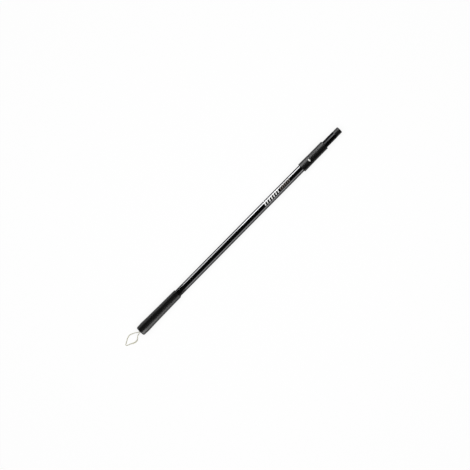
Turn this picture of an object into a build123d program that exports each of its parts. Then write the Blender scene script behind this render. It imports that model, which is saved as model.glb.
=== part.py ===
from build123d import *
import os
from math import cos, pi, radians, sin, tan

# A two-section telescopic pole with a twist lock, lying along X with its butt at -X and its tip at +X.
# Every piece is drawn about the X axis at its station, the distance from the butt's face, and is moved
# at the end so that the origin lies on the floor halfway along the pole. All sizes are in millimetres.

# ------------------------------------------------------------------ driving dimensions

# Tubes
tube_radius = 15.0  # outside of the outer section
tube_wall = 0.9
inner_wall = 1.0
bare_tube_length = 677.0  # of the outer section between grip and collar

# Hand grip, a rubber sleeve with a closed butt: its walls are measured from the tube
grip_length = 208.0
butt_thickness = 5.0
grip_crest_wall = 6.6  # at the flare's crest
grip_waist_wall = 5.4
grip_middle_wall = 4.55
grip_top_wall = 3.45
grip_crest_station = 27.0
grip_waist_station = 60.0
grip_middle_station = 110.0
grip_top_chamfer = 2.2
butt_corner_radius = 5.5
butt_dome = 1.5
butt_face_inset = 1.6  # of the domed face's corner from the crest

# Butt plug, washer, knot and closing buffer
plug_flange = 2.2
plug_floor = 3.0
plug_wall = 2.1
plug_depth = 25.0
washer_width = 4.7
washer_thickness = 1.2
knot_radius = 6.0
knot_flat = 0.25  # share of its radius pressed flat against the washer
buffer_length = 6.0
buffer_wall = 3.6

# Hanging cord
cord_diameter = 3.2
cord_gap = 0.2  # between its two strands where they leave the butt
cord_hole_clearance = 0.2
cord_hole_chamfer = 1.0

# Collar base
base_length = 49.0
base_lower_wall = 4.1  # outside the tube
base_upper_wall = 3.55
base_chamfer = 1.8
socket_depth = 42.0  # of the outer tube in the base
nose_wall = 1.8
nose_length = 24.0
pin_radius = 1.5
clamp_pin_station = 21.0  # from the base's lower end
pin_angles = (120.0, 240.0)  # from the top, so that the pins lie underneath

# Index arrow
arrow_length = 12.8  # around the collar
arrow_width = 9.2  # along the pole
arrow_head_length = 7.9
arrow_tail_width = 4.2
arrow_depth = 0.9
arrow_margin = 2.9  # to the base's upper face

# Three-start thread between nose and nut
thread_starts = 3
thread_lead = 9.0
thread_height = 0.7
thread_root_width = 1.5
thread_crest_width = 0.8
thread_end_margin = 4.5  # plain stretch of the nose before and after its thread
nut_thread_margin = 2.0  # by which the nut's thread is shorter at each end
thread_sink = 0.15  # of a ridge's foot in its wall

# Lock nut
nut_gap = 0.5  # to the base when locked
nut_wall = 0.9  # under the grooves
nut_taper = 0.3
nut_edge = 0.6
chamber_step = 0.25
rib_zone_start = 3.0
rib_pitch = 6.4
rib_count = 7
rib_groove_width = 2.2
rib_groove_depth = 0.5
throat_length = 14.5

# Collet and pressure ring
collet_foot = 6.0
collet_length = 21.0
collet_foot_wall = 1.9
collet_nose_wall = 0.6
collet_slots = 6  # from each end
collet_slot_width = 1.2
collet_slot_length = 14.5
pressure_ring_overhang = 4.3  # past the collet
pressure_ring_standoff = 1.8  # of its mouth from the collet's foot

# Wiper and its cap
wiper_length = 4.4
wiper_wall = 2.5
cap_length = 4.5
cap_spigot_length = 3.0
cap_lip = 0.2  # proud of the nut
cap_edge = 0.8

# Inner section
bare_inner_length = 57.0  # between collar and tool socket, when closed
socket_head_length = 26.5
socket_head_rounding = 3.6
socket_head_step = 0.3  # below the tube's surface
socket_spigot_length = 36.0
socket_bore_radius = 9.0
socket_bore_depth = 40.0
socket_floor = 4.0
spigot_wall = 2.4
socket_pin_station = 22.5  # below the tube's end
bush_flange_length = 8.0
bush_spigot_length = 30.0
bush_pin_station = 15.0  # above the tube's lower end

# Clearances, on the radius or end to end
section_gap = 0.2  # inner section in outer section
running_fit = 0.05
seat_fit = 0.05  # between bonded or pressed pieces
cone_clearance = 0.06  # collet in pressure ring
thread_clearance = 0.2  # crest to opposite wall
throat_gap = 0.35  # nut round inner section
cap_gap = 0.7  # cap round inner section
soft_gap = 0.3  # round felt and rubber rings

# ------------------------------------------------------------------ derived sizes and stations

tube_bore = tube_radius - tube_wall
inner_radius = tube_bore - section_gap
inner_bore = inner_radius - inner_wall

tube_start = butt_thickness + plug_flange
collar_start = grip_length + bare_tube_length
tube_end = collar_start + socket_depth
base_top = collar_start + base_length
nose_end = base_top + nose_length

plug_end = tube_start + plug_depth
plug_top = butt_thickness + plug_floor
buffer_start = plug_end + seat_fit
buffer_end = buffer_start + buffer_length
bush_start = buffer_end + soft_gap
inner_start = bush_start + bush_flange_length

strand_offset = (cord_diameter + cord_gap) / 2
cord_hole = strand_offset + cord_diameter / 2 + cord_hole_clearance
knot_face = plug_top + 2 * seat_fit + washer_thickness

base_lower_radius = tube_radius + base_lower_wall
base_upper_radius = tube_radius + base_upper_wall
nose_radius = tube_bore + nose_wall
thread_start = base_top + thread_end_margin
thread_length = nose_length - 2 * thread_end_margin

collet_bore = inner_radius + running_fit
collet_foot_radius = collet_bore + collet_foot_wall
collet_nose_radius = collet_bore + collet_nose_wall
collet_start = nose_end + 2 * running_fit
collet_end = collet_start + collet_length
ring_start = collet_start + collet_foot + pressure_ring_standoff
ring_end = collet_end + pressure_ring_overhang

nut_start = base_top + nut_gap
chamber_start = nut_start + nose_length
chamber_end = ring_end + 2 * running_fit
throat_end = chamber_end + throat_length
wiper_start = throat_end + soft_gap
wiper_end = wiper_start + wiper_length
nut_end = wiper_end + soft_gap + cap_spigot_length - seat_fit
cap_start = nut_end + seat_fit
cap_end = cap_start + cap_length

nut_bore = nose_radius + thread_height + thread_clearance
chamber_bore = nut_bore + chamber_step
nut_lower_radius = chamber_bore + nut_wall + rib_groove_depth
nut_upper_radius = nut_lower_radius - nut_taper
throat_bore = inner_radius + throat_gap
wiper_pocket = inner_radius + soft_gap + wiper_wall + soft_gap
cap_bore = inner_radius + cap_gap
cap_radius = nut_upper_radius + cap_lip

inner_end = cap_end + bare_inner_length
head_start = inner_end + seat_fit
pole_end = head_start + socket_head_length
head_radius = inner_radius - socket_head_step
spigot_radius = inner_bore - seat_fit
spigot_bore = spigot_radius - spigot_wall


# ------------------------------------------------------------------ helpers


def turned(*corners):
    """Solid turned about the pole's axis from an outline of (station, radius) corners."""
    return revolve(make_face(Polyline(*corners, close=True)), Axis.X)


def ring(start, end, bore, radius):
    """Plain ring between two stations."""
    return turned((start, bore), (end, bore), (end, radius), (start, radius))


def radial_rod(station, angle, radius, inner, outer):
    """Round rod pointing away from the axis; angle 0 is the top, positive from +Z towards -Y."""
    turn = radians(angle)
    away = Vector(0, -sin(turn), cos(turn))
    plane = Plane(origin=Vector(station, 0, 0) + away * inner, z_dir=away)
    return extrude(plane * Circle(radius), outer - inner)


def round_pins(station, radius, inner, outer):
    """One rod for each of the pin angles."""
    return [radial_rod(station, angle, radius, inner, outer) for angle in pin_angles]


def pin_holes(station, outer):
    """Holes for a set of pins, from the axis out to a radius."""
    return round_pins(station, pin_radius + seat_fit, 0, outer)


def bend_radii(points, share=0.45):
    """For each inner corner, the radius whose arc takes that share of the shorter run beside it."""
    radii = []
    for before, here, after in zip(points, points[1:], points[2:]):
        first, second = Vector(here) - Vector(before), Vector(after) - Vector(here)
        half_turn = radians(first.get_angle(second)) / 2
        radii.append(share * min(first.length, second.length) / tan(half_turn))
    return radii


def thread_ridge(start, length, root, crest, phase):
    """One start of a trapezoidal ridge that runs from its root radius to its crest radius."""
    helix = Helix(thread_lead, length, root, center=(start, 0, 0), direction=(1, 0, 0))
    helix = Rot(phase, 0, 0) * helix
    foot = helix @ 0
    away = Vector(0, foot.Y, foot.Z).normalized()
    plane = Plane(origin=foot, x_dir=away, z_dir=helix % 0)
    height = crest - root
    foot_height = -thread_sink if height > 0 else thread_sink
    outline = [
        (foot_height, -thread_root_width / 2),
        (height, -thread_crest_width / 2),
        (height, thread_crest_width / 2),
        (foot_height, thread_root_width / 2),
    ]
    return sweep(plane * make_face(Polyline(*outline, close=True)), path=helix, is_frenet=True)


def thread_ridges(start, length, root, crest, phase=0.0):
    """All the starts of a thread; a phase in degrees shifts it round the axis."""
    turn = 360 / thread_starts
    return [thread_ridge(start, length, root, crest, phase + i * turn) for i in range(thread_starts)]


# ------------------------------------------------------------------ outer section

outer_tube = ring(tube_start, tube_end, tube_bore, tube_radius)
outer_tube -= pin_holes(collar_start + clamp_pin_station, tube_radius + 1)


def make_hand_grip():
    """Rubber sleeve: domed butt, rounded corner, flare and slow taper, closed but for the cord's hole."""
    face_radius = tube_radius + grip_crest_wall - butt_face_inset
    outline = [
        (0, cord_hole + cord_hole_chamfer),
        (butt_dome, face_radius),
        (grip_crest_station, tube_radius + grip_crest_wall),
        (grip_waist_station, tube_radius + grip_waist_wall),
        (grip_middle_station, tube_radius + grip_middle_wall),
        (grip_length - grip_top_chamfer, tube_radius + grip_top_wall),
        (grip_length, tube_radius + grip_top_wall - grip_top_chamfer / 2),
    ]
    skin = FilletPolyline(*outline, radius=[butt_corner_radius] + bend_radii(outline, 0.3)[1:])
    inside = Polyline(
        outline[-1],
        (grip_length, tube_radius + seat_fit),
        (butt_thickness, tube_radius + seat_fit),
        (butt_thickness, cord_hole),
        (cord_hole_chamfer, cord_hole),
        outline[0],
    )
    return revolve(make_face(skin.edges() + inside.edges()), Axis.X)


hand_grip = make_hand_grip()
axis_height = hand_grip.bounding_box().size.Z / 2

butt_plug = turned(
    (butt_thickness + seat_fit, cord_hole),
    (plug_top, cord_hole),
    (plug_top, tube_bore - seat_fit - plug_wall),
    (plug_end, tube_bore - seat_fit - plug_wall),
    (plug_end, tube_bore - seat_fit),
    (tube_start - seat_fit, tube_bore - seat_fit),
    (tube_start - seat_fit, tube_radius),
    (butt_thickness + seat_fit, tube_radius),
)

cord_washer = ring(plug_top + seat_fit, knot_face - seat_fit, cord_hole, cord_hole + washer_width)
cord_knot = Pos(knot_face + (1 - knot_flat) * knot_radius, 0, 0) * Sphere(knot_radius)
cord_knot &= Pos(knot_face + knot_radius, 0, 0) * Box(2 * knot_radius, 4 * knot_radius, 4 * knot_radius)

buffer_radius = tube_bore - soft_gap
closing_buffer = ring(buffer_start, buffer_end, buffer_radius - buffer_wall, buffer_radius)


# ------------------------------------------------------------------ collar base, pins and arrow


def base_cone(start, end, inset=0.0):
    """The collar base's outer cone between two stations, drawn in by an inset."""
    slope = (base_upper_radius - base_lower_radius) / base_length
    radii = [base_lower_radius + slope * (station - collar_start) - inset for station in (start, end)]
    return turned((start, 0), (end, 0), (end, radii[1]), (start, radii[0]))


def arrow_prism(grow=0.0):
    """Arrow that points round the collar towards -Y, as a prism through the top of the base."""
    point = -arrow_length / 2
    neck = point + arrow_head_length
    wide = arrow_width / 2
    tail = arrow_tail_width / 2
    half = [(0, point), (wide, neck), (tail, neck), (tail, -point)]
    mirrored = [(-x, y) for x, y in reversed(half[1:])]
    face = make_face(Polyline(*half, *mirrored, close=True))
    if grow:
        face = offset(face, grow, kind=Kind.INTERSECTION)
    middle = base_top - arrow_margin - wide
    return Pos(middle, 0, 0) * extrude(face, base_lower_radius + 1)


def make_clamp_body():
    """Collar base with the tube's socket, and the threaded nose that the nut runs on."""
    body = base_cone(collar_start, base_top)
    rim = body.edges().filter_by(GeomType.CIRCLE).group_by(Axis.X)[0]
    body = chamfer(rim, base_chamfer)
    body += ring(base_top - 1, nose_end, 1, nose_radius)
    body -= ring(collar_start - 1, tube_end + seat_fit, 0, tube_radius + seat_fit)
    body -= ring(collar_start, nose_end + 1, 0, tube_bore)
    body -= pin_holes(collar_start + clamp_pin_station, base_lower_radius + 1)
    pocket = arrow_prism(seat_fit) - base_cone(collar_start, base_top, arrow_depth)
    body -= pocket
    return body + thread_ridges(thread_start, thread_length, nose_radius, nose_radius + thread_height)


clamp_body = make_clamp_body()
index_arrow = arrow_prism() & base_cone(collar_start, base_top)
index_arrow -= base_cone(collar_start, base_top, arrow_depth - seat_fit)

clamp_pins = round_pins(
    collar_start + clamp_pin_station, pin_radius, tube_bore + seat_fit, base_upper_radius
)


# ------------------------------------------------------------------ lock nut, wiper and cap


def make_lock_nut():
    """Nut with a threaded skirt, the pressure ring's chamber, a throat and the wiper's pocket."""
    slope = -nut_taper / (nut_end - nut_start)
    nut = turned(
        (nut_start, nut_bore),
        (nut_start, nut_lower_radius - nut_edge),
        (nut_start + nut_edge, nut_lower_radius),
        (nut_end, nut_upper_radius),
        (nut_end, wiper_pocket),
        (throat_end, wiper_pocket),
        (throat_end, throat_bore),
        (chamber_end, throat_bore),
        (chamber_end, chamber_bore),
        (chamber_start, chamber_bore),
        (chamber_start, nut_bore),
    )
    for i in range(rib_count):
        middle = nut_start + rib_zone_start + (i + 0.5) * rib_pitch
        outside = nut_lower_radius + slope * (middle - nut_start)
        half = rib_groove_width / 2
        nut -= turned(
            (middle - half, outside + 0.1),
            (middle - half / 2, outside - rib_groove_depth),
            (middle + half / 2, outside - rib_groove_depth),
            (middle + half, outside + 0.1),
        )
    # Each of the nut's ridges runs midway between two of the nose's.
    between = 180 / thread_starts + 360 * nut_thread_margin / thread_lead
    start = thread_start + nut_thread_margin
    length = thread_length - 2 * nut_thread_margin
    return nut + thread_ridges(start, length, nut_bore, nut_bore - thread_height, between)


lock_nut = make_lock_nut()
wiper_ring = ring(wiper_start, wiper_end, inner_radius + soft_gap, wiper_pocket - soft_gap)

wiper_cap = turned(
    (cap_start - cap_spigot_length, cap_bore),
    (cap_end, cap_bore),
    (cap_end, cap_radius - cap_edge),
    (cap_end - cap_edge, cap_radius),
    (cap_start, cap_radius),
    (cap_start, wiper_pocket - seat_fit),
    (cap_start - cap_spigot_length, wiper_pocket - seat_fit),
)


# ------------------------------------------------------------------ collet and pressure ring


def make_split_collet():
    """Cone sleeve with slots from alternate ends, so that it closes evenly on the inner section."""
    collet = turned(
        (collet_start, collet_bore),
        (collet_end, collet_bore),
        (collet_end, collet_nose_radius),
        (collet_start + collet_foot, collet_foot_radius),
        (collet_start, collet_foot_radius),
    )
    for i in range(2 * collet_slots):
        open_end = collet_start if i % 2 else collet_end
        slot = Pos(open_end, 0, collet_bore) * Box(2 * collet_slot_length, collet_slot_width, collet_bore)
        collet -= Rot(180 * i / collet_slots, 0, 0) * slot
    return collet


split_collet = make_split_collet()

# The ring's cone lies one cone clearance outside the collet's.
cone_slope = (collet_nose_radius - collet_foot_radius) / (collet_length - collet_foot)
cone_mouth = collet_foot_radius + cone_slope * pressure_ring_standoff + cone_clearance
cone_end = collet_nose_radius + cone_clearance
pressure_ring = turned(
    (ring_start, cone_mouth),
    (collet_end, cone_end),
    (ring_end, cone_end),
    (ring_end, chamber_bore - running_fit),
    (ring_start, chamber_bore - running_fit),
)

# ------------------------------------------------------------------ inner section

inner_tube = ring(inner_start, inner_end, inner_bore, inner_radius)
inner_tube -= pin_holes(inner_start + bush_pin_station, inner_radius + 1)
inner_tube -= pin_holes(inner_end - socket_pin_station, inner_radius + 1)

guide_bush = ring(bush_start, inner_start - seat_fit, spigot_bore, tube_bore - running_fit)
guide_bush += ring(bush_start, inner_start + bush_spigot_length, spigot_bore, spigot_radius)
guide_bush -= pin_holes(inner_start + bush_pin_station, inner_radius)
bush_pins = round_pins(
    inner_start + bush_pin_station, pin_radius, spigot_bore, inner_radius - running_fit
)


def make_tool_socket():
    """End piece: a head nearly flush with the tube, a spigot inside it and a blind bore for a stud."""
    head = ring(head_start, pole_end, 0, head_radius)
    head = fillet(head.edges().group_by(Axis.X)[-1], socket_head_rounding)
    spigot = ring(inner_end - socket_spigot_length, head_start + 1, 0, spigot_radius)
    floor_end = pole_end - socket_bore_depth
    bore = ring(floor_end, pole_end + 1, 0, socket_bore_radius)
    hollow = ring(inner_end - socket_spigot_length - 1, floor_end - socket_floor, 0, spigot_bore)
    holes = pin_holes(inner_end - socket_pin_station, inner_radius)
    return head + spigot - bore - hollow - holes


tool_socket = make_tool_socket()
socket_pins = round_pins(
    inner_end - socket_pin_station, pin_radius, spigot_bore, inner_radius - running_fit
)

# ------------------------------------------------------------------ hanging cord

# The loop leaves the butt's hole level with the pole's axis, drops to the floor and lies there as a leaf
# shape. Points are (station, sideways, height above the floor).
cord_floor = cord_diameter / 2
cord_route = [
    (knot_face, strand_offset, axis_height),
    (-5.0, strand_offset, axis_height),
    (-14.6, 10.4, 15.6),
    (-25.5, 15.6, 7.4),
    (-38.0, 20.2, cord_floor),
    (-51.5, 16.9, cord_floor),
    (-60.8, 11.3, cord_floor),
    (-67.4, 7.8, cord_floor),
    (-75.2, 4.3, cord_floor),
    (-74.7, -0.9, cord_floor),
    (-67.0, -3.7, cord_floor),
    (-58.2, -7.6, cord_floor),
    (-48.5, -13.6, cord_floor),
    (-36.5, -16.6, cord_floor),
    (-27.0, -13.5, 7.6),
    (-17.4, -4.4, 13.4),
    (-4.8, -strand_offset, axis_height),
    (knot_face, -strand_offset, axis_height),
]


def make_cord():
    """Round cord swept along straight runs that tangent arcs join."""
    path = FilletPolyline(*cord_route, radius=bend_radii(cord_route))
    start = Plane(origin=path @ 0, z_dir=path % 0)
    return sweep(start * Circle(cord_diameter / 2), path=path), path.length


hang_cord, cord_length = make_cord()

# ------------------------------------------------------------------ placing and writing

place = Pos(-pole_end / 2, 0, axis_height)
placed_cord = Pos(-pole_end / 2, 0, 0)

nodes = {
    "outer_tube": outer_tube,
    "hand_grip": hand_grip,
    "butt_plug": butt_plug,
    "cord_washer": cord_washer,
    "cord_knot": cord_knot,
    "closing_buffer": closing_buffer,
    "clamp_body": clamp_body,
    "clamp_pins": clamp_pins,
    "index_arrow": index_arrow,
    "lock_nut": lock_nut,
    "wiper_ring": wiper_ring,
    "wiper_cap": wiper_cap,
    "pressure_ring": pressure_ring,
    "split_collet": split_collet,
    "inner_tube": inner_tube,
    "guide_bush": guide_bush,
    "bush_pins": bush_pins,
    "tool_socket": tool_socket,
    "socket_pins": socket_pins,
}

os.makedirs("parts", exist_ok=True)
for name, shape in nodes.items():
    solids = shape if isinstance(shape, list) else shape.solids()
    moved = [place * solid for solid in solids]
    export_step(moved[0] if len(moved) == 1 else Compound(moved), f"parts/{name}.step")
export_step(placed_cord * hang_cord, "parts/hang_cord.step")

print("pole length", pole_end, "floor to axis", round(axis_height, 5))
stations = {
    "head_middle": (head_start + pole_end - socket_head_rounding) / 2,
    "head_wall": socket_head_length - socket_head_rounding,
    "head_radius": head_radius,
    "bore_middle": pole_end - socket_bore_depth / 2,
    "bore_radius": socket_bore_radius,
    "bore_depth": socket_bore_depth,
    "nut_middle": (nut_start + nut_end) / 2,
    "collet_middle": (collet_start + collet_end) / 2,
}
print("stations", {name: round(value, 4) for name, value in stations.items()})
cord_section = pi * cord_diameter**2 / 4
print("cord length", round(cord_length, 1))
print("cord radii", [round(radius, 1) for radius in bend_radii(cord_route)])
print("cord volume over section times length", round(hang_cord.volume / (cord_section * cord_length), 4))
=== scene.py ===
from math import pi, radians

import bpy
import numpy as np
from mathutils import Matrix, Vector


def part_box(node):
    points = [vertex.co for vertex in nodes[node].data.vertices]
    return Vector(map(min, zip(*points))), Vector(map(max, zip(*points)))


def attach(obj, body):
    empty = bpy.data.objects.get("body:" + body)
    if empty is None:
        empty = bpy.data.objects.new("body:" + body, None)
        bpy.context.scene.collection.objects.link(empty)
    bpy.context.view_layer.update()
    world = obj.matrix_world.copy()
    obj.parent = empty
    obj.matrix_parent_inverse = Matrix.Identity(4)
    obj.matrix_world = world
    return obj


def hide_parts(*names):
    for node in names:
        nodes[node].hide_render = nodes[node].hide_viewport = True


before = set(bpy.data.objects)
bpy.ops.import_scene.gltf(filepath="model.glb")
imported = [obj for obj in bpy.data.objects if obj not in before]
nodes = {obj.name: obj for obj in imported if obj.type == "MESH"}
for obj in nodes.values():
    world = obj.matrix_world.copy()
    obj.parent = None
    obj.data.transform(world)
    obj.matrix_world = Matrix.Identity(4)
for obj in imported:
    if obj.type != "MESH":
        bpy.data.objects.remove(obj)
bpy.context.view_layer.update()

# ------------------------------------------------------------------ hanging cord
# A length of soft braided cotton cord, 3.2 mm thick and undyed, by which the pole hangs on a hook. Both
# its ends pass the hole in the butt side by side and are knotted behind it, so it is a loop that lies
# where it falls, and use has pressed it flat in places. Eight strands cross round a soft core.

MM = 0.001
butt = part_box("hand_grip")[0].x  # the butt's face: every station is measured from it
tube_low, tube_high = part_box("outer_tube")
axis_height = (tube_low.z + tube_high.z) / 2
level = axis_height / MM

cord_diameter = 3.2
strand_offset = 1.7  # of each end from the pole's axis, in the butt's hole
cord_floor = cord_diameter / 2
cord_route = [  # station, sideways, height
    (9.3, strand_offset, level),
    (-5.0, strand_offset, level),
    (-14.6, 10.4, 15.6),
    (-25.5, 15.6, 7.4),
    (-38.0, 20.2, cord_floor),
    (-51.5, 16.9, cord_floor),
    (-60.8, 11.3, cord_floor),
    (-67.4, 7.8, cord_floor),
    (-75.2, 4.3, cord_floor),
    (-74.7, -0.9, cord_floor),
    (-67.0, -3.7, cord_floor),
    (-58.2, -7.6, cord_floor),
    (-48.5, -13.6, cord_floor),
    (-36.5, -16.6, cord_floor),
    (-27.0, -13.5, 7.6),
    (-17.4, -4.4, 13.4),
    (-4.8, -strand_offset, level),
    (9.3, -strand_offset, level),
]
cord_presses = [  # share of the cord's length, and its width there over a round cord's
    (0.16, 1.0),
    (0.28, 1.25),
    (0.46, 1.25),
    (0.53, 1.0),
    (0.61, 1.35),
    (0.66, 1.8),
    (0.73, 1.8),
    (0.78, 1.2),
    (0.83, 1.0),
]
strand_count = 8
strand_relief = 0.35  # between the strands' backs and the furrows between them
strand_bluntness = 0.4  # power of the cosine across a strand: the lower, the flatter its back
strand_weave = 0.2  # share of its back by which a strand rises over another and dips under the next
braid_pitch = 9.0  # one turn of a strand along the cord


def linear(colour):
    """An sRGB hex colour as linear RGBA: each channel is ((c + 0.055) / 1.055) to the power 2.4."""
    channels = [int(colour[i : i + 2], 16) / 255 for i in (1, 3, 5)]
    return [c / 12.92 if c <= 0.04045 else ((c + 0.055) / 1.055) ** 2.4 for c in channels] + [1.0]


def add(tree, kind, sockets=None, **settings):
    """Adds a node with its settings; sockets gives inputs their values, or the outputs they link from."""
    node = tree.nodes.new("ShaderNode" + kind)
    for name, value in settings.items():
        setattr(node, name, value)
    for name, value in (sockets or {}).items():
        if isinstance(value, bpy.types.NodeSocket):
            tree.links.new(value, node.inputs[name])
        else:
            node.inputs[name].default_value = value
    return node


def every(size):
    """Scale of a noise whose features lie about that many millimetres apart."""
    return 1 / (size * MM)


def blank(name):
    """A new material and its node tree, which is empty."""
    material = bpy.data.materials.new(name)
    material.use_nodes = True
    tree = material.node_tree
    tree.nodes.clear()
    return material, tree


def piece(name, grid, material, body, looped=True):
    """A closed piece from a grid of points in metres: rows follow each other, and columns go round.

    Neighbours in both directions are joined by quads, the last column to the first. The last row joins
    the first where the profile is a loop; otherwise the two end rows are closed by one face each. Each
    quad's middle, seen from the middle of the piece, is dotted with the quad's area vector. The sum is
    positive where faces point outwards; otherwise every face is turned over.
    """
    rows, columns = grid.shape[:2]
    here = np.arange(rows * columns).reshape(rows, columns)
    beside = np.roll(here, -1, axis=1)
    quads = np.stack([here, beside, np.roll(beside, -1, axis=0), np.roll(here, -1, axis=0)], axis=2)
    quads = (quads if looped else quads[:-1]).reshape(-1, 4)
    points = grid.reshape(-1, 3)
    corners = points[quads]
    areas = np.cross(corners[:, 2] - corners[:, 0], corners[:, 3] - corners[:, 1]) / 2
    ends = [] if looped else [here[0, ::-1].tolist(), here[-1].tolist()]
    mesh = bpy.data.meshes.new(name)
    mesh.from_pydata(points, [], quads.tolist() + ends)
    if np.einsum("ij,ij", corners.mean(axis=1) - points.mean(axis=0), areas) < 0:
        mesh.flip_normals()
    mesh.shade_smooth()
    mesh.materials.append(material)
    made = bpy.data.objects.new(name, mesh)
    bpy.context.scene.collection.objects.link(made)
    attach(made, body)
    return made


def cord_line(route, spacing):
    """Evenly spaced points on the NURBS curve of order 3 whose control points are the route's.

    Each coordinate is read as a function of the length along the curve, at steps near the spacing.
    """
    curve = bpy.data.curves.new("route", "CURVE")
    curve.dimensions = "3D"
    curve.resolution_u = 24
    spline = curve.splines.new("NURBS")
    spline.points.add(len(route) - 1)
    spline.points.foreach_set("co", np.c_[route, np.ones(len(route))].ravel())
    spline.order_u = 3
    spline.use_endpoint_u = True
    holder = bpy.data.objects.new("route", curve)
    mesh = bpy.data.meshes.new_from_object(holder)
    line = np.empty(len(mesh.vertices) * 3)
    mesh.vertices.foreach_get("co", line)
    line = line.reshape(-1, 3)
    bpy.data.objects.remove(holder)
    bpy.data.meshes.remove(mesh)
    bpy.data.curves.remove(curve)
    along = np.r_[0, np.cumsum(np.linalg.norm(np.diff(line, axis=0), axis=1))]
    steps = np.linspace(0, along[-1], round(along[-1] / spacing) + 1)
    return np.stack([np.interp(steps, along, axis) for axis in line.T], axis=1), steps


def cord_skin(line, steps, around=32):
    """Braided tube round a line, and how deep in a furrow each of its points lies, from 0 to 1.

    Sideways is the line's direction crossed with +Z, and upward is sideways crossed with the direction.
    Half the strands wind each way. Angle plus turn, and angle minus turn, in turns and times half the
    strands, tell the strand of each half that a point is on, and where across it. A strand's back is
    the size of the cosine of pi times that number, to the power of the bluntness. The weave takes its
    share off and gives it back times the other half's cosine, with a plus where the strand passes over
    and a minus where it passes under, which change places from each crossing to the next. The depth is
    what the higher of the two backs lacks of 1, and the radius is the cord's, less the relief times the
    depth. Sideways is then multiplied by the pressed width, upward by one over it, and the flattened
    cord is lowered by what its height has lost, so that it stays on the floor.
    """
    ahead = np.gradient(line, axis=0)
    ahead /= np.linalg.norm(ahead, axis=1)[:, None]
    sideways = np.cross(ahead, [0, 0, 1])
    sideways /= np.linalg.norm(sideways, axis=1)[:, None]
    upward = np.cross(sideways, ahead)
    angle = np.linspace(0, 2 * pi, around, endpoint=False)[None, :]
    turn = 2 * pi * steps[:, None] / (braid_pitch * MM)
    strands = np.stack([angle + turn, angle - turn]) * strand_count / 2 / (2 * pi)
    cosine = np.abs(np.cos(pi * strands))
    first_over = np.where(np.round(strands).sum(axis=0) % 2 == 0, 1, -1)
    weave = strand_weave * np.stack([first_over, -first_over]) * cosine[::-1]
    depth = 1 - np.max(cosine**strand_bluntness * (1 - strand_weave + weave), axis=0)
    radius = cord_diameter / 2 - strand_relief * depth
    width = np.interp(steps / steps[-1], *np.transpose(cord_presses))[:, None]
    height = np.minimum(1, 1 / width)
    out = (width * np.cos(angle))[..., None] * sideways[:, None]
    out += (height * np.sin(angle))[..., None] * upward[:, None]
    lowered = np.array([0, 0, cord_diameter / 2 * MM]) * (1 - height)
    return (line - lowered)[:, None] + radius[..., None] * MM * out, depth


# Undyed cotton: a matt, warm off-white that is fuzzy at its edge. Its fibres, 0.02 mm thick, show only as
# tufts, and handling greys it in patches as long as a fingertip. The furrows between the strands, which
# the skin's own attribute gives, are painted darker: painted shade.
# (A colour Mix has its share at 0, its colours at 6 and 7.)
cotton, tree = blank("undyed_cotton_braid")
place = add(tree, "TexCoord")
fibres = add(tree, "TexNoise", {"Vector": place.outputs["Object"], "Scale": every(0.4), "Detail": 3})
patches = add(tree, "TexNoise", {"Vector": place.outputs["Object"], "Scale": every(11), "Detail": 2})
tone = add(tree, "ValToRGB", {"Fac": fibres.outputs[0]})
tone.color_ramp.elements[0].position, tone.color_ramp.elements[1].position = 0.32, 0.68
tone.color_ramp.elements[0].color = linear("#c8c6ae")
tone.color_ramp.elements[1].color = linear("#e9e7d6")
worn = add(
    tree,
    "Mix",
    {0: patches.outputs[0], 6: tone.outputs[0], 7: linear("#d5d3c0")},
    data_type="RGBA",
)
furrow = add(tree, "Attribute", attribute_name="furrow")
# Painted shade: the colour darkens towards the bottom of each furrow between the strands.
furrow_shade = add(
    tree,
    "MapRange",
    {"Value": furrow.outputs["Fac"], "From Min": 0.08, "From Max": 0.5, "To Max": 0.85},
)
furrow_shaded = add(
    tree,
    "Mix",
    {0: furrow_shade.outputs[0], 6: worn.outputs[2], 7: linear("#8d8972")},
    data_type="RGBA",
)
fuzz = add(tree, "Bump", {"Height": fibres.outputs[0], "Strength": 0.5, "Distance": 0.1 * MM})
shader = add(
    tree,
    "BsdfPrincipled",
    {
        "Base Color": furrow_shaded.outputs[2],
        "Normal": fuzz.outputs[0],
        "Roughness": 0.95,
        "Sheen Weight": 0.25,
        "Sheen Roughness": 0.5,
    },
)
add(tree, "OutputMaterial", {"Surface": shader.outputs[0]})

route = [(butt + station * MM, side * MM, height * MM) for station, side, height in cord_route]
line, steps = cord_line(route, spacing=0.2 * MM)
skin, depth = cord_skin(line, steps)
cord = piece("hang_loop", skin, cotton, "outer_section", looped=False)
cord.data.attributes.new("furrow", "FLOAT", "POINT").data.foreach_set("value", depth.ravel())
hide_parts("hang_cord")

# ------------------------------------------------------------------ butt plug, washer, knot and buffer
# Behind the grip's closed end sit a moulded plug that the cord passes through, a steel washer, the cord's
# knot and the soft ring that the inner section lands on. None shows while the pole is whole. The plug is
# of the collar's nylon, and is dressed with it.


def dress(material, *names):
    """Gives CAD nodes a material in place of their plain one."""
    for name in names:
        for slot in nodes[name].material_slots:
            slot.material = material


# Stainless steel: bright, brushed by its rolling, so its fine lines run one way. They are 0.05 mm wide,
# and are drawn 0.4 mm apart so that they show. The bush's and the socket's pins are of it too.
steel, tree = blank("stainless_steel")
place = add(tree, "TexCoord")
rolled = add(
    tree,
    "Mapping",
    {"Vector": place.outputs["Object"], "Scale": (every(0.4), every(0.4), every(7))},
)
lines = add(tree, "TexNoise", {"Vector": rolled.outputs[0], "Scale": 1.0, "Detail": 2})
gloss = add(tree, "MapRange", {"Value": lines.outputs[0], "To Min": 0.25, "To Max": 0.42})
scratch = add(tree, "Bump", {"Height": lines.outputs[0], "Strength": 0.2, "Distance": 0.02 * MM})
shader = add(
    tree,
    "BsdfPrincipled",
    {
        "Base Color": linear("#c3c3c5"),
        "Metallic": 1.0,
        "Roughness": gloss.outputs[0],
        "Normal": scratch.outputs[0],
    },
)
add(tree, "OutputMaterial", {"Surface": shader.outputs[0]})
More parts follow.
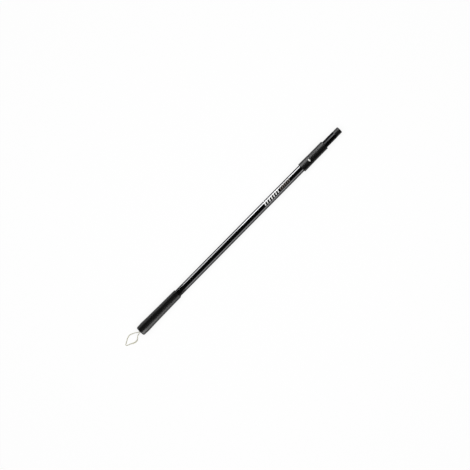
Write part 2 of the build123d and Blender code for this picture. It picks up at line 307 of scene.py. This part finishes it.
dress(steel, "cord_washer", "bush_pins", "socket_pins")
dress(cotton, "cord_knot")

# Nitrile rubber: black and dull, slightly dusty in its pores, which are 0.1 mm across and are drawn
# 0.7 mm apart so that they show.
nitrile, tree = blank("nitrile_rubber")
place = add(tree, "TexCoord")
pores = add(tree, "TexNoise", {"Vector": place.outputs["Object"], "Scale": every(0.7), "Detail": 4})
tone = add(tree, "ValToRGB", {"Fac": pores.outputs[0]})
tone.color_ramp.elements[0].color = linear("#1a1a1b")
tone.color_ramp.elements[1].color = linear("#2b2b2c")
dimples = add(tree, "Bump", {"Height": pores.outputs[0], "Strength": 0.4, "Distance": 0.05 * MM})
shader = add(
    tree,
    "BsdfPrincipled",
    {"Base Color": tone.outputs[0], "Roughness": 0.8, "IOR": 1.52, "Normal": dimples.outputs[0]},
)
add(tree, "OutputMaterial", {"Surface": shader.outputs[0]})
dress(nitrile, "closing_buffer")

# ------------------------------------------------------------------ outer tube
# Drawn aluminium tube, 30 mm across, dyed black after anodising and sealed to a gloss. The mandrel and
# die leave faint lines along it, and hands leave it a little duller in patches.

# Gloss black anodised aluminium: a black mirror whose highlights are drawn out along the tube. The die's
# lines are 0.1 mm apart and are drawn ten times as coarse; a palm's patches are 36 mm across.
gloss_black, tree = blank("gloss_black_anodised_aluminium")
place = add(tree, "TexCoord")
drawn = add(
    tree,
    "Mapping",
    {"Vector": place.outputs["Object"], "Scale": (every(250), every(1.1), every(1.1))},
)
die_lines = add(tree, "TexNoise", {"Vector": drawn.outputs[0], "Scale": 1.0, "Detail": 3})
handled = add(tree, "TexNoise", {"Vector": place.outputs["Object"], "Scale": every(36), "Detail": 5})
gloss = add(
    tree,
    "MapRange",
    {"Value": handled.outputs[0], "From Min": 0.35, "From Max": 0.7, "To Min": 0.1, "To Max": 0.16},
)
tone = add(tree, "ValToRGB", {"Fac": die_lines.outputs[0]})
tone.color_ramp.elements[0].color = linear("#404041")
tone.color_ramp.elements[1].color = linear("#484849")
grooves = add(tree, "Bump", {"Height": die_lines.outputs[0], "Strength": 0.06, "Distance": 0.02 * MM})
shader = add(
    tree,
    "BsdfPrincipled",
    {
        "Base Color": tone.outputs[0],
        "Metallic": 1.0,
        "Specular Tint": linear("#7a7a7b"),
        "Roughness": gloss.outputs[0],
        "Normal": grooves.outputs[0],
    },
)
add(tree, "OutputMaterial", {"Surface": shader.outputs[0]})
dress(gloss_black, "outer_tube")

# ------------------------------------------------------------------ hand grip
# Moulded sleeve of soft black rubber that is pushed over the tube's lower end. Its butt is closed but for
# the cord's hole, and flares to stop the hand. The mould's skin is satin, with a fine even grain.


def reach(node):
    """Where a CAD node begins and ends along the pole, in millimetres from the butt's face."""
    low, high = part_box(node)
    return (low.x - butt) / MM, (high.x - butt) / MM


def radius_of(node):
    """Greatest radius of a round CAD node, in millimetres."""
    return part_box(node)[1].y / MM


seat_fit = 0.05  # between pieces that are pushed or bonded together
tube_radius = radius_of("outer_tube")
grip_end = reach("hand_grip")[1]
butt_thickness, butt_dome, butt_inset = 5.0, 1.5, 1.6
cord_hole, hole_chamfer = 3.5, 1.0
crest_station, waist_station, middle_station = 27.0, 60.0, 110.0
crest_wall, waist_wall, middle_wall, top_wall = 6.6, 5.4, 4.55, 3.45  # outside the tube
top_chamfer = 2.2

grip_outline = [  # station, radius, and how far each side is cut back where the corner is rounded
    (0.0, cord_hole + hole_chamfer, 0.35),
    (butt_dome, tube_radius + crest_wall - butt_inset, 4.7),
    (crest_station, tube_radius + crest_wall, 7.7),
    (waist_station, tube_radius + waist_wall, 9.9),
    (middle_station, tube_radius + middle_wall, 15.0),
    (grip_end - top_chamfer, tube_radius + top_wall, 1.1),
    (grip_end, tube_radius + top_wall - top_chamfer / 2, 0.5),
    (grip_end, tube_radius + seat_fit, 0.3),
    (butt_thickness, tube_radius + seat_fit, 0.8),
    (butt_thickness, cord_hole, 0.3),
    (hole_chamfer, cord_hole, 0.3),
]


def rounded(corners, arc_steps=6, beyond=1.15):
    """Points along a closed outline whose corners are arcs.

    At each corner the arc leaves one side and joins the other at the corner's cut. Its middle lies on
    the corner's bisector, at the cut over the cosine of half the angle between the sides, and its
    points share the turn between the two radii evenly, as weights sin((1-k)w)/sin(w) and sin(kw)/sin(w).
    One more point on each side, at the cut times beyond, keeps the smooth shading to the arc.
    """
    rows = np.array(corners)
    here, cut = rows[:, :2], rows[:, 2:]
    back = np.roll(here, 1, axis=0) - here
    ahead = np.roll(here, -1, axis=0) - here
    back /= np.linalg.norm(back, axis=1)[:, None]
    ahead /= np.linalg.norm(ahead, axis=1)[:, None]
    bisector = back + ahead
    bisector /= np.linalg.norm(bisector, axis=1)[:, None]
    cosine = np.sum(back * bisector, axis=1)[:, None]
    middle = here + bisector * cut / cosine
    first, last = here + back * cut - middle, here + ahead * cut - middle
    turn = (pi - 2 * np.arccos(cosine))[:, None]
    k = np.linspace(0, 1, arc_steps)[None, :, None]
    arcs = (np.sin((1 - k) * turn) * first[:, None] + np.sin(k * turn) * last[:, None]) / np.sin(turn)
    arcs += middle[:, None]
    leave, join = here + back * cut * beyond, here + ahead * cut * beyond
    return np.concatenate([leave[:, None], arcs, join[:, None]], axis=1).reshape(-1, 2)


def on_pole(station, radius, angle):
    """Points in metres from stations and radii in millimetres, and angles from the pole's top towards +Y.

    A point is the station along X, the radius times sin(angle) along Y and times cos(angle) upward.
    """
    station, radius, angle = np.broadcast_arrays(station, radius, angle)
    upward = axis_height + radius * np.cos(angle) * MM
    return np.stack([butt + station * MM, radius * np.sin(angle) * MM, upward], axis=-1)


def turned(profile, relief=0.0, around=120):
    """Grid of points from an outline of (station, radius) that is turned about the pole's axis.

    A relief, a grid of millimetres, is added to the radius.
    """
    angle = np.linspace(0, 2 * pi, around, endpoint=False)[None, :]
    return on_pole(profile[:, :1], profile[:, 1:] + relief, angle)


# Satin black rubber: deep black with one wide, soft highlight, broken by the mould's grain, which is
# 0.1 mm fine and drawn as 0.65 mm, and clouded where hands have polished it.
rubber, tree = blank("satin_black_rubber")
place = add(tree, "TexCoord")
grain = add(tree, "TexNoise", {"Vector": place.outputs["Object"], "Scale": every(0.65), "Detail": 3})
cloud = add(tree, "TexNoise", {"Vector": place.outputs["Object"], "Scale": every(17), "Detail": 4})
tone = add(tree, "ValToRGB", {"Fac": cloud.outputs[0]})
tone.color_ramp.elements[0].color = linear("#070707")
tone.color_ramp.elements[1].color = linear("#0d0d0d")
gloss = add(
    tree,
    "MapRange",
    {"Value": cloud.outputs[0], "From Min": 0.3, "From Max": 0.7, "To Min": 0.34, "To Max": 0.44},
)
mould_skin = add(tree, "Bump", {"Height": grain.outputs[0], "Strength": 0.35, "Distance": 0.06 * MM})
shader = add(
    tree,
    "BsdfPrincipled",
    {
        "Base Color": tone.outputs[0],
        "Roughness": gloss.outputs[0],
        "IOR": 1.52,
        "Specular IOR Level": 0.25,
        "Normal": mould_skin.outputs[0],
    },
)
add(tree, "OutputMaterial", {"Surface": shader.outputs[0]})

grip = piece("rubber_hand_grip", turned(rounded(grip_outline)), rubber, "outer_section")
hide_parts("hand_grip")

# ------------------------------------------------------------------ print on the tube
# Two plain rows of slanted bars, screen printed in opaque ink where a pole bears its maker's words: white
# ones, and warm grey ones nearer to the collar. The ink is a hundredth of a millimetre proud.

print_proud = 0.06  # drawn thicker than ink is, so that its flat faces stay clear of the round tube
print_sunk = 0.25  # depth in the tube's wall at which each bar's slab ends


def printed_bars(name, material, count, first, pitch, width, slant, low, high):
    """Slanted bars that lie on the tube, each a closed slab of a few faces.

    A bar's point is a share k along it and a share m up it. Its station is first + bar * pitch + k * width
    + m * slant, and its angle from the top, towards +Y, runs evenly from low to high with m.
    """
    m, k = np.meshgrid(np.linspace(0, 1, 13), np.linspace(0, 1, 2), indexing="ij")
    angle = np.radians(low + m * (high - low))
    made = []
    for bar in range(count):
        station = first + bar * pitch + k * width + m * slant
        face = on_pole(station, tube_radius + print_proud, angle)
        back = on_pole(station, tube_radius - print_sunk, angle)
        # Columns go round the bar's section: out along its face and home along its back.
        section = np.concatenate([face, back[:, ::-1]], axis=1)
        slab = piece(f"{name}_{bar + 1}", section, material, "outer_section", looped=False)
        slab.data.shade_flat()
        made.append(slab)
    return made


def ink(name, dark, light):
    """Screen ink: opaque and satin, pressed through a mesh.

    The mesh's threads, 0.1 mm apart, leave a faint mottle between the two colours, which is drawn as
    1.4 mm so that it shows.
    """
    material, tree = blank(name)
    place = add(tree, "TexCoord")
    mottle = add(tree, "TexNoise", {"Vector": place.outputs["Object"], "Scale": every(1.4), "Detail": 2})
    tone = add(tree, "ValToRGB", {"Fac": mottle.outputs[0]})
    tone.color_ramp.elements[0].color = linear(dark)
    tone.color_ramp.elements[1].color = linear(light)
    shader = add(tree, "BsdfPrincipled", {"Base Color": tone.outputs[0], "Roughness": 0.42, "IOR": 1.5})
    add(tree, "OutputMaterial", {"Surface": shader.outputs[0]})
    return material


white_bars = printed_bars(
    "white_bar",
    ink("white_screen_ink", "#d6d6d4", "#ececea"),
    count=7,
    first=684.5,
    pitch=11.6,
    width=4.7,
    slant=4.5,
    low=-14.0,
    high=45.0,
)
grey_bars = printed_bars(
    "grey_bar",
    ink("warm_grey_screen_ink", "#4a433e", "#5e5650"),
    count=6,
    first=768.0,
    pitch=9.2,
    width=4.6,
    slant=3.5,
    low=-12.0,
    high=40.0,
)

# ------------------------------------------------------------------ collar base, its pins and the arrow
# The lower half of the twist lock is one moulding of black glass-filled nylon, spark-eroded satin, pinned
# to the tube from underneath. A white arrow is pressed into its top and shows the way to tighten.

# Moulded nylon: a soft black sheen with the faint sparkle of an eroded mould, whose pits are 0.05 mm
# across and drawn as 0.45 mm, and duller flow marks 8 mm long. The plug in the butt and the tool socket
# at the tip are moulded in it too.
nylon, tree = blank("moulded_black_nylon")
place = add(tree, "TexCoord")
eroded = add(tree, "TexNoise", {"Vector": place.outputs["Object"], "Scale": every(0.45), "Detail": 2})
flow = add(tree, "TexNoise", {"Vector": place.outputs["Object"], "Scale": every(8), "Detail": 4})
tone = add(tree, "ValToRGB", {"Fac": flow.outputs[0]})
tone.color_ramp.elements[0].color = linear("#060606")
tone.color_ramp.elements[1].color = linear("#0c0c0c")
gloss = add(
    tree,
    "MapRange",
    {"Value": flow.outputs[0], "From Min": 0.3, "From Max": 0.7, "To Min": 0.38, "To Max": 0.5},
)
sparkle = add(tree, "Bump", {"Height": eroded.outputs[0], "Strength": 0.3, "Distance": 0.04 * MM})
shader = add(
    tree,
    "BsdfPrincipled",
    {
        "Base Color": tone.outputs[0],
        "Roughness": gloss.outputs[0],
        "IOR": 1.53,
        "Specular IOR Level": 0.25,
        "Normal": sparkle.outputs[0],
    },
)
add(tree, "OutputMaterial", {"Surface": shader.outputs[0]})
dress(nylon, "clamp_body", "clamp_pins", "butt_plug", "tool_socket")

# White moulded inlay: opaque and satin, a shade off white, faintly mottled every millimetre.
inlay, tree = blank("white_moulded_inlay")
place = add(tree, "TexCoord")
mottle = add(tree, "TexNoise", {"Vector": place.outputs["Object"], "Scale": every(1.1), "Detail": 3})
tone = add(tree, "ValToRGB", {"Fac": mottle.outputs[0]})
tone.color_ramp.elements[0].color = linear("#c6c6c2")
tone.color_ramp.elements[1].color = linear("#d8d8d4")
shader = add(tree, "BsdfPrincipled", {"Base Color": tone.outputs[0], "Roughness": 0.38, "IOR": 1.5})
add(tree, "OutputMaterial", {"Surface": shader.outputs[0]})
dress(inlay, "index_arrow")

# ------------------------------------------------------------------ lock nut
# The upper half of the twist lock is a nut of the same nylon. Seven ribs round it give the hand a hold,
# three ridges inside it run on the base's thread, and its chamber holds the pressure ring.

nut_low, nut_high = reach("lock_nut")
nut_low_radius = radius_of("lock_nut")
nut_high_radius = nut_low_radius - 0.3
inner_radius = radius_of("inner_tube")
thread_bore = 16.8
chamber_bore = radius_of("pressure_ring") + 0.05
throat_bore = inner_radius + 0.35
wiper_pocket = radius_of("wiper_ring") + 0.3
chamber_low = nut_low + 24.0  # the skirt below it holds the thread
chamber_high = reach("pressure_ring")[1] + 0.1
throat_high = reach("wiper_ring")[0] - 0.3

groove_first, groove_pitch, groove_count = nut_low + 6.2, 6.4, 7  # stations of the grooves' middles
groove_width, groove_floor, groove_depth = 2.0, 1.1, 0.5
groove_cut = 0.28  # at each of a groove's corners
groove_middles = groove_first + groove_pitch * np.arange(groove_count)[:, None]
offsets = np.array([-groove_width, -groove_floor, groove_floor, groove_width]) / 2
depths = np.array([0, groove_depth, groove_depth, 0])
stations = (groove_middles + offsets).ravel()
taper = (nut_high_radius - nut_low_radius) / (nut_high - nut_low)
radii = nut_low_radius + taper * (stations - nut_low) - np.tile(depths, groove_count)
ribs = [(station, radius, groove_cut) for station, radius in zip(stations, radii)]

thread_lead, thread_starts = 9.0, 3
ridge_height, ridge_root, ridge_crest = 0.7, 1.5, 0.8
ridge_low = nut_low + 6.0
ridge_high = ridge_low + 11.0
ridge_fade = 0.5  # length over which a ridge rises at each end
ridge_angle = 40.0  # degrees from the top, of a crest carried down to the butt's face
row_margin, row_step = 1.0, 0.25  # of the outline's rows past the ridges, and from row to row
row_count = round((ridge_high - ridge_low + 2 * row_margin) / row_step)
thread_rows = ridge_high + row_margin - row_step * np.arange(row_count)

nut_corners = [
    (nut_low, thread_bore, 0.3),
    (nut_low, nut_low_radius, 0.8),
    *ribs,
    (nut_high, nut_high_radius, 0.3),
    (nut_high, wiper_pocket, 0.2),
    (throat_high, wiper_pocket, 0.2),
    (throat_high, throat_bore, 0.3),
    (chamber_high, throat_bore, 0.3),
    (chamber_high, chamber_bore, 0.2),
    (chamber_low, chamber_bore, 0.2),
    (chamber_low, thread_bore, 0.1),
]
nut_outline = np.concatenate([rounded(nut_corners), np.c_[thread_rows, np.full(row_count, thread_bore)]])


def thread_relief(profile, around=120):
    """Height field of the ridges inside the nut, in millimetres, negative because they point inwards.

    A point's phase is its angle, plus a turn for each lead of its station, less the ridges' angle. What
    it lacks or has over the nearest whole third of a turn, times the lead, is the distance along the
    pole from the nearest crest. A ridge falls in a straight line from its crest's edge to its root's,
    and fades at both ends of the thread. It is there only on the rows at the thread's bore.
    """
    angle = np.linspace(0, 360, around, endpoint=False)[None, :]
    third = 360 / thread_starts
    phase = (angle + 360 * profile[:, :1] / thread_lead - ridge_angle + third / 2) % third - third / 2
    aside = np.abs(phase) * thread_lead / 360
    flank = np.clip((ridge_root / 2 - aside) / ((ridge_root - ridge_crest) / 2), 0, 1)
    inward = np.minimum(profile[:, :1] - ridge_low, ridge_high - profile[:, :1])
    at_bore = np.isclose(profile[:, 1:], thread_bore, rtol=0, atol=0.001)
    return -ridge_height * flank * np.clip(inward / ridge_fade, 0, 1) * at_bore


nut = piece("ribbed_lock_nut", turned(nut_outline, thread_relief(nut_outline)), nylon, "lock_nut")
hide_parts("lock_nut")

# ------------------------------------------------------------------ pressure ring, collet and bush
# The sliding pieces inside the lock and the guide inside the tube are turned or moulded in natural
# acetal: slippery, milky white and a little translucent.

# Natural acetal: milky white and smooth, clouded every 7 mm, with lathe rings 0.1 mm apart that are drawn
# three times as coarse.
acetal, tree = blank("natural_acetal")
place = add(tree, "TexCoord")
milk = add(tree, "TexNoise", {"Vector": place.outputs["Object"], "Scale": every(7), "Detail": 3})
tone = add(tree, "ValToRGB", {"Fac": milk.outputs[0]})
tone.color_ramp.elements[0].color = linear("#dcdad2")
tone.color_ramp.elements[1].color = linear("#e8e6de")
lathe = add(
    tree,
    "Mapping",
    {"Vector": place.outputs["Object"], "Scale": (every(0.33), every(25), every(25))},
)
rings = add(tree, "TexNoise", {"Vector": lathe.outputs[0], "Scale": 1.0, "Detail": 1})
cuts = add(tree, "Bump", {"Height": rings.outputs[0], "Strength": 0.15, "Distance": 0.03 * MM})
shader = add(
    tree,
    "BsdfPrincipled",
    {"Base Color": tone.outputs[0], "Roughness": 0.32, "IOR": 1.48, "Normal": cuts.outputs[0]},
)
add(tree, "OutputMaterial", {"Surface": shader.outputs[0]})
dress(acetal, "pressure_ring", "split_collet", "guide_bush")

# ------------------------------------------------------------------ wiper ring and cap
# A ring of grey wool felt in the nut's mouth wipes the inner section as it slides. A nylon cap, bonded
# into the mouth, keeps it there; its rim stands a little proud of the nut.

# Grey wool felt: quite matt, mottled where its fibres mat together in tufts half a millimetre across.
felt, tree = blank("grey_wool_felt")
place = add(tree, "TexCoord")
wool = add(tree, "TexNoise", {"Vector": place.outputs["Object"], "Scale": every(0.55), "Detail": 6})
tone = add(tree, "ValToRGB", {"Fac": wool.outputs[0]})
tone.color_ramp.elements[0].color = linear("#4d4d4e")
tone.color_ramp.elements[1].color = linear("#7b7b7b")
nap = add(tree, "Bump", {"Height": wool.outputs[0], "Strength": 0.8, "Distance": 0.2 * MM})
shader = add(
    tree,
    "BsdfPrincipled",
    {
        "Base Color": tone.outputs[0],
        "Roughness": 1.0,
        "Sheen Weight": 0.4,
        "Sheen Roughness": 0.5,
        "Normal": nap.outputs[0],
    },
)
add(tree, "OutputMaterial", {"Surface": shader.outputs[0]})
dress(felt, "wiper_ring")

cap_low, cap_high = reach("wiper_cap")
rim_low = nut_high + seat_fit
cap_bore = inner_radius + 0.7
spigot_radius = wiper_pocket - seat_fit
rim_radius = nut_high_radius + 0.2
cap_corners = [
    (cap_low, cap_bore, 0.3),
    (cap_low, spigot_radius, 0.3),
    (rim_low, spigot_radius, 0.2),
    (rim_low, rim_radius, 0.35),
    (cap_high, rim_radius, 1.1),
    (cap_high, cap_bore, 0.7),
]
cap = piece("rounded_wiper_cap", turned(rounded(cap_corners)), nylon, "lock_nut")
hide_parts("wiper_cap")

# ------------------------------------------------------------------ inner tube
# The section that slides out: the same drawn aluminium, anodised satin so that the collet grips it, with
# faint marks along it where the collet has rubbed.

# Satin black anodised aluminium: darker than the outer tube, with softer highlights. The rubbed lines are
# 0.1 mm wide and are drawn 0.9 mm apart.
satin_black, tree = blank("satin_black_anodised_aluminium")
place = add(tree, "TexCoord")
drawn = add(
    tree,
    "Mapping",
    {"Vector": place.outputs["Object"], "Scale": (every(125), every(0.9), every(0.9))},
)
rubbed = add(tree, "TexNoise", {"Vector": drawn.outputs[0], "Scale": 1.0, "Detail": 4})
gloss = add(
    tree,
    "MapRange",
    {"Value": rubbed.outputs[0], "From Min": 0.3, "From Max": 0.7, "To Min": 0.17, "To Max": 0.26},
)
tone = add(tree, "ValToRGB", {"Fac": rubbed.outputs[0]})
tone.color_ramp.elements[0].color = linear("#2f2f30")
tone.color_ramp.elements[1].color = linear("#3a3a3b")
grooves = add(tree, "Bump", {"Height": rubbed.outputs[0], "Strength": 0.12, "Distance": 0.02 * MM})
shader = add(
    tree,
    "BsdfPrincipled",
    {
        "Base Color": tone.outputs[0],
        "Metallic": 1.0,
        "Specular Tint": linear("#7a7a7b"),
        "Roughness": gloss.outputs[0],
        "Normal": grooves.outputs[0],
    },
)
add(tree, "OutputMaterial", {"Surface": shader.outputs[0]})
dress(satin_black, "inner_tube")

# ------------------------------------------------------------------ floor and studio
# The pole lies on a wide sheet of white paper in a dark studio. Beyond the sheet's edge the camera sees
# plain white instead of the dark walls.

# White paper: matt, and lit by the lamps, so that it keeps the pole's shadow. The camera sees most of it
# as plain white, and glossy and clear surfaces see a part of it so.
seen_white = 0.86  # share of plain white, as the camera sees the paper
mirrored_white = 0.35  # and as glossy and clear surfaces do
paper, tree = blank("white_paper_floor")
rays = add(tree, "LightPath")
mirrored = add(
    tree,
    "Math",
    {0: rays.outputs["Is Glossy Ray"], 1: rays.outputs["Is Transmission Ray"]},
    operation="MAXIMUM",
)
mirrored = add(tree, "Math", {0: mirrored.outputs[0], 1: mirrored_white}, operation="MULTIPLY")
seen = add(tree, "Math", {0: rays.outputs["Is Camera Ray"], 1: seen_white}, operation="MULTIPLY")
share = add(tree, "Math", {0: seen.outputs[0], 1: mirrored.outputs[0]}, operation="MAXIMUM")
matt = add(tree, "BsdfDiffuse", {"Color": linear("#fbfbfb")})
glow = add(tree, "Emission", {"Color": linear("#ffffff"), "Strength": 1.0})
mixed = add(tree, "MixShader", {0: share.outputs[0], 1: matt.outputs[0], 2: glow.outputs[0]})
add(tree, "OutputMaterial", {"Surface": mixed.outputs[0]})

floor_half = 20.0
floor_corners = [(-1, -1), (1, -1), (1, 1), (-1, 1)]
mesh = bpy.data.meshes.new("floor")
mesh.from_pydata([(x * floor_half, y * floor_half, 0.0) for x, y in floor_corners], [], [(0, 1, 2, 3)])
mesh.materials.append(paper)
floor = bpy.data.objects.new("floor", mesh)
bpy.context.scene.collection.objects.link(floor)

# The studio's walls are nearly black, because the tubes mirror them, but plain white to the camera.
dark_walls, white_walls = 0.03, 1.0
world = bpy.data.worlds.new("studio")
bpy.context.scene.world = world
world.use_nodes = True
tree = world.node_tree
tree.nodes.clear()
rays = add(tree, "LightPath")
strength = add(
    tree,
    "MapRange",
    {"Value": rays.outputs["Is Camera Ray"], "To Min": dark_walls, "To Max": white_walls},
)
white = add(tree, "Background", {"Color": linear("#ffffff"), "Strength": strength.outputs[0]})
add(tree, "OutputWorld", {"Surface": white.outputs[0]})

# ------------------------------------------------------------------ lamps
# A wide soft ceiling lights everything at a plain level, and gives no highlights. Those come from long
# soft lamps low on either side of the pole, each kept by its flags to the pieces that it is there for.


def lamp(name, middle, length, height, radiance, lit=(), **seen_by):
    """A rectangular lamp that faces the pole; its power is radiance times pi times its area.

    Where lit names objects, it lights those alone. The camera never sees it, and a kind of ray that is
    given as False doesn't either.
    """
    data = bpy.data.lights.new(name, "AREA")
    data.shape = "RECTANGLE"
    data.size, data.size_y = length, height
    data.energy = radiance * pi * length * height
    made = bpy.data.objects.new(name, data)
    bpy.context.scene.collection.objects.link(made)
    made.location = middle
    away = Vector((0.0, middle[1], middle[2] - axis_height))
    made.rotation_euler = away.to_track_quat("Z", "Y").to_euler()
    made.visible_camera = False
    for kind, sees in seen_by.items():
        setattr(made, "visible_" + kind, sees)
    if lit:
        made.light_linking.receiver_collection = bpy.data.collections.new(name)
        for thing in lit:
            made.light_linking.receiver_collection.objects.link(thing)


lamp("ceiling", (0.0, 0.0, 3.5), 5.0, 5.0, 2.5, glossy=False)

tube_parts = [nodes["outer_tube"], *white_bars, *grey_bars]
lamp("low_lamp", (0.02, 0.55, 0.155), 0.68, 0.26, 12.5, lit=tube_parts, diffuse=False)
lamp("low_lamp_booster", (0.22, 0.56, 0.20), 0.42, 0.28, 11.0, lit=tube_parts, diffuse=False)
lamp("tube_lamp", (0.10, -0.45, 0.21), 0.84, 0.30, 3.7, lit=tube_parts, diffuse=False)

nylon_parts = [nodes["clamp_body"], nodes["index_arrow"], nut, cap, nodes["tool_socket"]]
lamp("collar_lamp", (0.425, 0.42, 0.29), 0.44, 0.40, 10.5, lit=nylon_parts, diffuse=False)

lamp("grip_lamp", (-0.62, -0.45, 0.20), 0.66, 0.34, 5.0, lit=[grip], diffuse=False)
lamp("butt_lamp", (-0.78, -0.45, 0.26), 0.44, 0.46, 6.0, lit=[grip], diffuse=False)
lamp("grip_back_lamp", (-0.46, 0.55, 0.11), 0.60, 0.18, 3.2, lit=[grip], diffuse=False)

lamp("tip_lamp", (0.74, 0.25, 0.39), 0.50, 0.28, 5.0, lit=[nodes["inner_tube"]], diffuse=False)

# ------------------------------------------------------------------ camera
# A long lens straight above the pole, which keeps its sides parallel, turned so that the butt is low on
# the left of the picture.

frame_width = 1.8076  # of the picture, at the pole's axis
view_middle = (-0.0249, 0.0016)
picture_turn = -45.37  # degrees about the upright
lens, sensor = 200.0, 36.0
distance = frame_width * lens / sensor
camera_data = bpy.data.cameras.new("camera")
camera_data.lens = lens
camera_data.sensor_width = sensor
camera_data.clip_end = 100.0
camera = bpy.data.objects.new("camera", camera_data)
bpy.context.scene.collection.objects.link(camera)
camera.location = (*view_middle, axis_height + distance)
camera.rotation_euler = (0.0, 0.0, radians(picture_turn))
bpy.context.scene.camera = camera
bpy.context.scene.view_settings.view_transform = "Standard"
